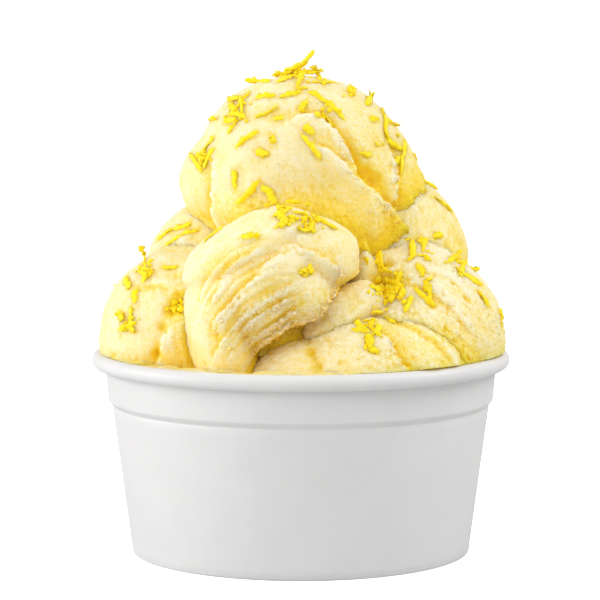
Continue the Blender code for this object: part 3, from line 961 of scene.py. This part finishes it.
def makeFill():
    # packed sorbet: the inside of the wall with a lumpy top, turned about Z. It is squeezed up towards the
    # wall, between the scoops and the roll, along a smooth step
    floor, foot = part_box("sorbet_fill")[0].z / mm, cup["footRadius"]
    edge = cup["collarTop"][0] - cup["paper"] - packed["edgeClear"]
    slope = (cup["bodyTop"][0] - foot) / cup["bodyTop"][1]
    inside = cup["paper"] + packed["clear"]
    side = [np.subtract(corner, (inside, 0)) for corner in (cup["collarBase"], cup["bodyTop"])]
    side += [(foot + slope * floor - inside, floor)]
    outline = np.concatenate([level(1.0, edge, fillTop, 80), side, level(foot - 1, 1, floor, 12)])
    points, faces = turnClosed(outline)
    onTop = points[:, 2] > fillTop - 0.01
    (slowSize, slow, slowSeed), (quickSize, quick, quickSeed) = packed["bumps"]
    grainSize, grain, grainSeed = packed["grains"]
    bumps = slow * noise(points, slowSize, slowSeed) + quick * noise(points, quickSize, quickSeed)
    bumps += grain * grains(points, grainSize, grainSeed)
    crownHigh, crownFrom, crownOver = packed["crown"]
    crown = crownHigh * smooth((lengthOf(points[:, :2]) - crownFrom) / crownOver)
    points[:, 2] += np.where(onTop, bumps + crown, 0)
    points = np.where(onTop[:, None], insideCup(points), points)
    # the dips are painted more golden as shade and the bumps paler
    goldAndShade = np.clip(0.55 - 0.3 * bumps, 0, 1)
    piece = makePiece("sorbet_packed", points, faces, sorbet, {"goldAndShade": goldAndShade})
    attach(piece, "root")
    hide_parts("sorbet_fill")
    print("packed sorbet made")


makeFill()


def grainShape():
    # the twelve corners and twenty faces of an icosahedron: corners that lie two apart share a face
    golden = (1 + 5 ** 0.5) / 2
    corners = np.array([np.roll((0, s, t * golden), k) for k in range(3) for s in (1, -1) for t in (1, -1)])
    faces = []
    for i, j, k in itertools.combinations(range(12), 3):
        sides = lengthOf(corners[[i, j, k]] - corners[[j, k, i]])
        if np.all(sides < 2.1):
            out = np.dot(np.cross(corners[j] - corners[i], corners[k] - corners[i]), corners[i]) > 0
            faces.append((i, j, k) if out else (i, k, j))
    return corners / lengthOf(corners[0]), np.array(faces)


def makeBits(name, places, normals, sizes, sunk, finish, colours, seed):
    # loose bits: each is the twenty-faced grain pushed out of shape, turned any way and sunk by a share of
    # its size
    rng = np.random.default_rng(seed)
    shape, faces = grainShape()
    count = len(places)
    first = unit(rng.normal(size=(count, 3)))
    second = unit(np.cross(first, rng.normal(size=(count, 3))))
    turn = np.stack([first, second, np.cross(first, second)], 1)
    pushed = shape * rng.uniform(0.66, 1.34, (count, 12, 1)) * rng.uniform(0.5, 1.6, (count, 1, 3))
    middle = places + normals * (sizes * (1 - 2 * sunk))[:, None]
    points = (pushed * sizes[:, None, None]) @ turn + middle[:, None, :]
    allFaces = (faces[None] + 12 * np.arange(count)[:, None, None]).reshape(-1, 3)
    marks = {"goldAndShade": np.repeat(colours, 12)}
    return makePiece(name, points.reshape(-1, 3), [allFaces], finish, marks, softened=False)


crumbs = {
    "count": 2600,
    "size": (0.16, 0.36),
    "sunk": 0.6,
    "share": {
        "scoop_top": 1.0, "scoop_front_left": 1.25, "scoop_front_right": 1.3, "scoop_right": 1.1,
        "scoop_left": 0.8, "scoop_back_left": 0.6, "scoop_back_right": 0.7, "scoop_back": 0.5,
    },
}


def makeCrumbs():
    # ice grains lie thickest on torn edges that face away from the light: a spot is picked with the square of
    # how crumbly it is
    rng = np.random.default_rng(97)
    weights = np.concatenate([crumbs["share"][name] * found["crumbly"] ** 2 for name, found in heap.items()])
    pick = rng.choice(len(weights), crumbs["count"], replace=False, p=weights / weights.sum())

    def picked(kind):
        return np.concatenate([found[kind] for found in heap.values()])[pick]

    sizes = rng.uniform(*crumbs["size"], len(pick))
    # each grain takes the skin's goldAndShade under it, painted shade included, a little more golden and
    # varied at random
    gold = np.clip(picked("goldAndShade") * 0.8 + 0.10 + 0.12 * rng.normal(size=len(pick)), 0, 1)
    places, normals = picked("points"), picked("normals")
    piece = makeBits("sorbet_crumbs", places, normals, sizes, crumbs["sunk"], iceGrain, gold, 98)
    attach(piece, "root")
    print("ice grains made", len(pick))


makeCrumbs()


# Lemon zest. Strips seen from the front are listed for each scoop: across and up from its heart, the
# # turn of the strip in degrees, its length, and how far its far end stands clear of the sorbet.

zestStrips = {
    "stations": 9,
    "sides": 6,
    "width": (1.35, 1.85),
    "thick": 0.42,
    "lift": 0.06,
    "rough": 0.32,
    "bow": 0.07,
    "laid": {
        "scoop_top": [
            (0.2, 28, 48, 8, 0), (-2.6, 26.6, 24, 5, 0.8), (1.4, 26.2, -8, 4, 0.6),
            (-0.4, 27.2, 42, 5.5, 0.4), (-4, 26.2, -12, 3, 0.4), (-9.6, 24.4, -5, 5.2, 0),
            (-5, 25.8, 5, 2.5, 0), (-1.5, 25.5, 20, 7.5, 0), (-2, 27.2, 15, 3.2, 0), (5, 24.3, 0, 5.2, 0),
            (3.8, 25.8, -65, 2.2, 0), (11, 22.6, -90, 1.6, 0.4), (15, 20.4, 50, 2.8, 0.5),
            (15.8, 16.2, -10, 1.8, 0), (18.4, 15.2, -85, 6.6, 0.4), (20.2, 11, -35, 4.2, 0),
            (20, 15, -20, 3.8, 0.5), (22.5, 8, -95, 7, 0), (21, 7.5, 45, 1.8, 0), (14.1, 9.5, -15, 2, 0),
            (5.5, 19.5, -37, 9.5, 0), (5.8, 17.4, -45, 3.2, 0), (0.5, 19.8, 50, 2.2, 0),
            (-2.2, 21.8, 15, 4.5, 0), (-7.5, 21.3, 5, 4, 0), (-7.3, 18.2, 30, 5.3, 0), (-4.7, 17, 5, 2, 0),
            (-11.5, 12.5, 35, 5.6, 0), (-6, 12.6, -75, 1.6, 0), (-8.2, 10, -15, 2.7, 0),
            (2, 14.5, -50, 2.5, 0), (2.1, 11, -52, 6.2, 0), (-14, 4, -85, 3.8, 0), (-11.2, 1.3, 46, 7, 0),
            (-6.7, 1, -50, 4.7, 0), (-14.8, 20.6, -10, 3, 0.4), (-13.4, 19.8, 46, 6.5, 0),
            (-15.2, 16.3, 15, 2.8, 0), (-14.6, 15, 55, 3.4, 0), (-12.9, 19.6, -80, 3.2, 0),
            (-19, 16.2, 0, 2.2, 0.4), (-20.6, 10.3, 50, 6.3, 0), (-23, 7, -46, 4.8, 0),
            (-19.8, 8, 63, 4.9, 0),
        ],
        "scoop_front_left": [
            (2.9, 22.6, 15, 3.4, 0.3), (5.4, 24.4, -12, 3.2, 0.4), (8.5, 21.2, -40, 3.4, 0),
            (11.6, 20.5, -30, 6.3, 0.2), (4.2, 21.4, -20, 3, 0), (-11.6, 18, 40, 4.7, 0),
            (-3.4, 18.4, 4, 3.9, 0), (8, 11.1, -5, 2.9, 0),
        ],
        "scoop_back_left": [
            (-12.7, 15.5, 40, 4.2, 0), (-9, 17.5, 18, 4.2, 0), (-10.6, 14, 43, 4.8, 0),
            (-7, 16.4, 16, 3.6, 0),
        ],
        "scoop_left": [
            (-10.6, 20.2, -68, 3.2, 0), (-9.3, 18.7, 15, 2, 0), (-9.4, 17, 0, 3.2, 0),
            (-9.4, 16.4, 77, 2.8, 0), (-4.2, 18.2, -3, 3.2, 0), (-13.3, 14.6, -45, 2.6, 0.3),
            (-11.4, 12.2, -90, 2.8, 0), (-12.3, 8.2, -92, 3.2, 0), (-13, 6, 26, 4.2, 0),
        ],
        "scoop_right": [
            (-7.3, 17.6, -72, 4.4, 0.3), (-3.8, 14, 57, 4.2, 0.2), (-5.2, 11.8, 20, 3, 0.3),
            (-8.4, 12.6, -35, 2.2, 0), (-6, 12.8, -20, 3.2, 0.5), (-4.6, 11.2, 70, 2.8, 0.3),
            (1.5, 16.1, -63, 2.2, 0), (2.4, 10.7, -41, 5.4, 0), (2.9, 12.4, -56, 3, 0),
            (-1.2, 9, 68, 3.6, 0), (9.2, 17.8, 31, 3.8, 0.3), (11.8, 13.8, -34, 7.2, 0),
            (15, 9.3, -56, 3.9, 0), (19.3, 5.3, -55, 2.6, 0.2), (19.3, 4, -80, 2.2, 0),
            (10.6, 16.2, -10, 2.4, 0),
        ],
        "scoop_back_right": [
            (10.5, 23.5, -19, 4, 0.4), (13.4, 20.1, -36, 5, 0),
        ],
        "scoop_front_right": [
            (-0.8, 16.5, 4, 3, 0), (3.2, 15.6, -3, 4.3, 0), (5.6, 14.1, -13, 2.8, 0),
            (1.4, 13.8, -5, 2.8, 0), (-0.5, 12.3, -5, 3.4, 0), (1, 10.4, -86, 2.8, 0),
            (2.1, 8.9, -14, 2, 0), (2.6, 12.2, -40, 3, 0),
        ],
    },
    # (across, up, spread, count) of short loose strips dropped over one another
    "tangles": {
        "scoop_front_left": [(3.4, 22.4, 3.4, 4), (9, 20.9, 3.6, 4)],
        "scoop_right": [(-4.8, 13.4, 3, 3), (10.8, 15.6, 3.4, 3), (2.6, 20.6, 3.4, 3)],
        "scoop_top": [(0, 26, 3.6, 7), (-14, 18.4, 3, 3)],
        "scoop_left": [(-9.6, 17.6, 2.8, 2), (-12.6, 7.2, 2.4, 2)],
        "scoop_front_right": [(1.4, 13.4, 2.8, 2)],
        "scoop_back_right": [(9.8, 13, 2.4, 2)],
    },
    "loose": {"turn": (-60, 70), "length": (1.2, 2.8), "raised": (0, 0.8), "bow": 0.35},
    # how many more on the far side, where they fell the same way, and which spots they take
    "scattered": {
        "scoop_top": 46, "scoop_back_left": 16, "scoop_back_right": 16, "scoop_back": 22, "scoop_left": 7,
        "scoop_right": 8,
    },
    "far": {
        "behind": 3.0, "over": 8.0, "overRim": 3.0, "insideRim": 6.0, "length": (2.4, 7.0),
        "raised": [0.0, 0.0, 0.0, 0.5, 1.2],
    },
}

zestBits = {
    "size": (0.28, 0.7),
    "sunk": 0.3,
    # (across, up, spread, count) of small torn crumbs of peel on each scoop, in the order they fall
    "groups": [
        ("scoop_right", [(-5.2, 12.4, 3.4, 80), (-7, 17.4, 1.8, 16), (2.6, 20.4, 2.8, 18),
            (2.6, 12.8, 2.2, 8), (10.8, 16.8, 2.6, 16)]),
        ("scoop_front_left", [(3.6, 22.6, 3, 34), (8.6, 20.8, 2.6, 26)]),
        ("scoop_front_right", [(1.2, 10.6, 1.4, 10)]),
        ("scoop_front_left", [(8.2, 11, 1.3, 7)]),
        ("scoop_top", [(3, 24.6, 4, 14), (5.5, 18.4, 2.6, 12), (-14, 18, 2.8, 12), (-21, 8.5, 2.2, 8)]),
        ("scoop_left", [(-2.6, 10.4, 1.7, 16), (-9.6, 17.4, 2.4, 12), (-12.6, 7.2, 1.8, 9)]),
        ("scoop_front_right", [(2, 13.6, 2.4, 14)]),
        ("scoop_top", [(11, 22.4, 0.8, 8), (20.5, 10.5, 2.2, 8)]),
    ],
}

front = facing(0, 0)


def stripPlaces(name, across, up, turn, length, raised, bow):
    # the middle line of each strip: evenly spaced in the front view, bowed by a parabola, laid on the scoop,
    # and lifted towards its far end by the square of the way along
    t = np.linspace(-1, 1, zestStrips["stations"])[None, :]
    a = np.radians(turn)[:, None]
    along, aside = t * length[:, None] / 2, bow[:, None] * (1 - t * t)
    x = across[:, None] + along * np.cos(a) - aside * np.sin(a)
    z = up[:, None] + along * np.sin(a) + aside * np.cos(a)
    spots, met = landOn(scoops[name], np.stack([x.ravel(), z.ravel()], 1), front)
    outward = unit(spots)
    reach = scoopSurface(name, outward)[0]
    far = (raised[:, None] * ((t + 1) / 2) ** 2).ravel()
    radius = np.where(met, reach, np.maximum(lengthOf(spots), reach)) + zestStrips["lift"] + far
    return heartOf(name) + (outward * radius[:, None]).reshape(*x.shape, 3), outward.reshape(*x.shape, 3)


def scatteredPlaces(name, count, rng):
    # strips that start from random open spots behind the scoop's middle, mostly high ones, and run off over
    # the scoop any way round
    found, heart, far = heap[name], heartOf(name), zestStrips["far"]
    spots, facingUp = found["points"], found["normals"][:, 2]
    weight = found["open"] * np.clip(facingUp + 0.2, 0, 1)
    weight *= smooth((spots[:, 1] - heart[1] - far["behind"]) / far["over"])
    weight *= spots[:, 2] > rimTop + far["overRim"]
    weight *= lengthOf(spots[:, :2]) < rimRadius - far["insideRim"]
    pick = rng.choice(len(spots), count, p=weight / weight.sum())
    outward = unit(spots[pick] - heart)
    side = unit(np.cross(outward, rng.normal(size=(count, 3))))
    length = rng.uniform(*far["length"], count)[:, None, None]
    t = np.linspace(-1, 1, zestStrips["stations"])[None, :, None]
    bow = rng.normal(size=(count, 1, 1)) * zestStrips["bow"] * length
    third = np.cross(outward, side)
    reach = lengthOf(spots[pick] - heart)[:, None, None]
    path = outward[:, None] * reach + side[:, None] * t * length / 2 + third[:, None] * bow * (1 - t * t)
    outward = unit(path)
    reach = scoopSurface(name, outward.reshape(-1, 3))[0].reshape(outward.shape[:2])
    raised = rng.choice(far["raised"], (count, 1)) * ((t[..., 0] + 1) / 2) ** 2
    return heart + outward * (reach + zestStrips["lift"] + raised)[..., None], outward


def stripMesh(middles, outward, rng):
    # a flat six-sided bar along each line, narrowed at its ends, twisted a little and knobbly as if grated
    count, stations, sides = len(middles), zestStrips["stations"], zestStrips["sides"]
    t = np.linspace(-1, 1, stations)[None, :]
    tangent = unit(np.gradient(middles, axis=1))
    side = unit(np.cross(outward, tangent))
    up = np.cross(tangent, side)
    twist = (rng.normal(size=(count, 1)) * 0.5 + rng.normal(size=(count, 1)) * 0.5 * t)[..., None]
    side, up = side * np.cos(twist) + up * np.sin(twist), up * np.cos(twist) - side * np.sin(twist)
    narrow = np.sqrt(np.clip(1 - np.abs(t) ** 6, 0, 1)) * 0.6 + 0.4
    wide = rng.uniform(*zestStrips["width"], (count, 1)) / 2 * narrow
    angle = np.linspace(0, 2 * math.pi, sides, endpoint=False)[None, None, :]
    knobs = 1 + zestStrips["rough"] * rng.normal(size=(count, stations, sides))
    a = (wide[..., None] * np.cos(angle) * knobs)[..., None] * side[:, :, None]
    b = (wide[..., None] * zestStrips["thick"] * np.sin(angle) * knobs)[..., None] * up[:, :, None]
    rings = middles[:, :, None] + a + b
    pointing = tangent[:, [0, -1]] * np.array([-1, 1])[None, :, None]
    ends = middles[:, [0, -1]] + pointing * wide[:, [0, -1], None] * 0.7
    perStrip = stations * sides
    points = np.concatenate([rings.reshape(count, perStrip, 3), ends], 1).reshape(-1, 3)
    j = np.arange(sides)
    after = (j + 1) % sides
    first = np.stack([np.full(sides, perStrip), after, j], 1)
    last = np.stack([np.full(sides, perStrip + 1), perStrip - sides + j, perStrip - sides + after], 1)
    step = (perStrip + 2) * np.arange(count)[:, None, None]
    parts = (gridFaces(stations, sides), first, last)
    return points, [(part[None] + step).reshape(-1, part.shape[1]) for part in parts]


peelGold = {
    "cell": 0.4,
    "spread": 2,
    "share": 0.22,
    "full": 9.0,
}


def goldenNearPeel(spots):
    # the sorbet round the peel is made more golden: spots are counted into small cells, each pass shares a
    #     # cell's count with its two neighbours along each axis, and the goldAndShade rises towards a limit
    #     by how much
    #     # is there
    low = spots.min(0) - 3
    shape = tuple(((spots.max(0) + 3 - low) / peelGold["cell"]).astype(int) + 1)

    def cellsOf(points):
        inside = ((points > low) & (points < low + peelGold["cell"] * np.array(shape))).all(1)
        cell = ((points - low) / peelGold["cell"]).astype(int).clip(0, np.array(shape) - 1)
        return np.ravel_multi_index(cell.T, shape), inside

    amount = np.bincount(cellsOf(spots)[0], minlength=np.prod(shape)).reshape(shape).astype(float)
    for _ in range(peelGold["spread"]):
        for axis in range(3):
            amount += np.roll(amount, 1, axis) + np.roll(amount, -1, axis)
    amount = amount.ravel()
    for name, found in heap.items():
        cell, inside = cellsOf(found["points"])
        tint = peelGold["share"] * inside * (1 - np.exp(-amount[cell] / peelGold["full"]))
        goldAndShade = np.clip(found["goldAndShade"] + tint, 0, 1).astype(np.float32)
        mesh = bpy.data.objects[name.replace("scoop", "sorbet")].data
        mesh.attributes["goldAndShade"].data.foreach_set("value", goldAndShade)


def makeStrips(rng):
    found, loose = [], zestStrips["loose"]
    for name in scoops:
        laid = np.array(zestStrips["laid"].get(name, []), float)
        if len(laid):
            bow = rng.normal(size=len(laid)) * zestStrips["bow"] * laid[:, 3] * 0.5
            found.append(stripPlaces(name, *laid.T, bow))
        for across, up, width, count in zestStrips["tangles"].get(name, []):
            spots = np.array([across, up]) + rng.normal(size=(count, 2)) * (width / 2, width / 3)
            turn, length = rng.uniform(*loose["turn"], count), rng.uniform(*loose["length"], count)
            raised = rng.uniform(*loose["raised"], count)
            bow = rng.normal(size=count) * loose["bow"]
            found.append(stripPlaces(name, *spots.T, turn, length, raised, bow))
        count = zestStrips["scattered"].get(name, 0)
        if count:
            found.append(scatteredPlaces(name, count, rng))
    middles, outward = (np.concatenate(part) for part in zip(*found))
    points, faces = stripMesh(middles, outward, rng)
    piece = makePiece("zest_strips", points, faces, zest)
    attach(piece, "root")
    between = (middles[:, 1:] + middles[:, :-1]) / 2
    goldenNearPeel(np.concatenate([middles.reshape(-1, 3), between.reshape(-1, 3)]))
    print("zest strips made", len(middles))


def makeZestBits(rng):
    places, normals = [], []
    for name, groups in zestBits["groups"]:
        for across, up, width, count in groups:
            spots = np.array([across, up]) + rng.normal(size=(count, 2)) * width / 2
            landed, met = landOn(scoops[name], spots, front)
            out = unit(landed[met])
            places.append(heartOf(name) + out * scoopSurface(name, out)[0][:, None])
            normals.append(out)
    places, normals = np.concatenate(places), np.concatenate(normals)
    sizes = rng.uniform(*zestBits["size"], len(places))
    plain = np.zeros(len(places))
    piece = makeBits("zest_crumbs", places, normals, sizes, zestBits["sunk"], zest, plain, 54)
    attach(piece, "root")
    print("zest crumbs made", len(places))


zestRng = np.random.default_rng(53)
makeStrips(zestRng)
makeZestBits(zestRng)


# Lights are (azimuth, elevation, distance, size, power), all aimed at the heap's middle, in metres.

stage = {
    "aim": (0.0, 0.0, 0.06),
    "sky": 0.68,
    "seenWhite": 1.1,
    "floorSide": 3.0,
    "floorWhite": 0.64,
    "lights": {
        "left": (-90, 15, 0.9, 0.5, 3.6),
        "frontLeft": (-50, 20, 0.9, 0.5, 1.7),
        "front": (6, 45, 0.9, 0.5, 0.85),
        "right": (86, 43, 0.9, 0.5, 3.5),
    },
}


def makeLight(name, azimuth, elevation, distance, size, power):
    # a square soft light: its axes are the rows of the view from where it stands
    data = bpy.data.lights.new(name, "AREA")
    data.size = size
    data.energy = power
    made = bpy.data.objects.new(name, data)
    axes = facing(azimuth, elevation)
    place = axes[2] * distance + stage["aim"]
    made.matrix_world = Matrix([[*axes[:, i], place[i]] for i in range(3)] + [[0, 0, 0, 1]])
    bpy.context.scene.collection.objects.link(made)


def seenStrength(tree, dim):
    # dim as light on the object, and white where it is looked at
    path = addNode(tree, "ShaderNodeLightPath")
    more = addMath(tree, "MULTIPLY", path.outputs["Is Camera Ray"], stage["seenWhite"] - dim)
    return addMath(tree, "ADD", more, dim)


def makeStage():
    scene = bpy.context.scene
    scene.view_settings.view_transform = "Standard"
    world = bpy.data.worlds.new("studio")
    world.use_nodes = True
    sky = world.node_tree.nodes["Background"]
    sky.inputs["Color"].default_value = (1, 1, 1, 1)
    world.node_tree.links.new(seenStrength(world.node_tree, stage["sky"]), sky.inputs["Strength"])
    scene.world = world

    side, white = stage["floorSide"], stage["floorWhite"]
    mesh = bpy.data.meshes.new("floor")
    corners = [(-side, -side, 0), (side, -side, 0), (side, side, 0), (-side, side, 0)]
    mesh.from_pydata(corners, [], [(0, 1, 2, 3)])
    finish, tree, shader = newFinish("floor_white", 0.9)
    shader.inputs["Base Color"].default_value = (white, white, white, 1)
    shader.inputs["Emission Color"].default_value = (1, 1, 1, 1)
    tree.links.new(seenStrength(tree, 0.0), shader.inputs["Emission Strength"])
    mesh.materials.append(finish)
    floor = bpy.data.objects.new("floor", mesh)
    scene.collection.objects.link(floor)
    for name, light in stage["lights"].items():
        makeLight(name, *light)
    print("stage made")


makeStage()

bpy.context.view_layer.update()
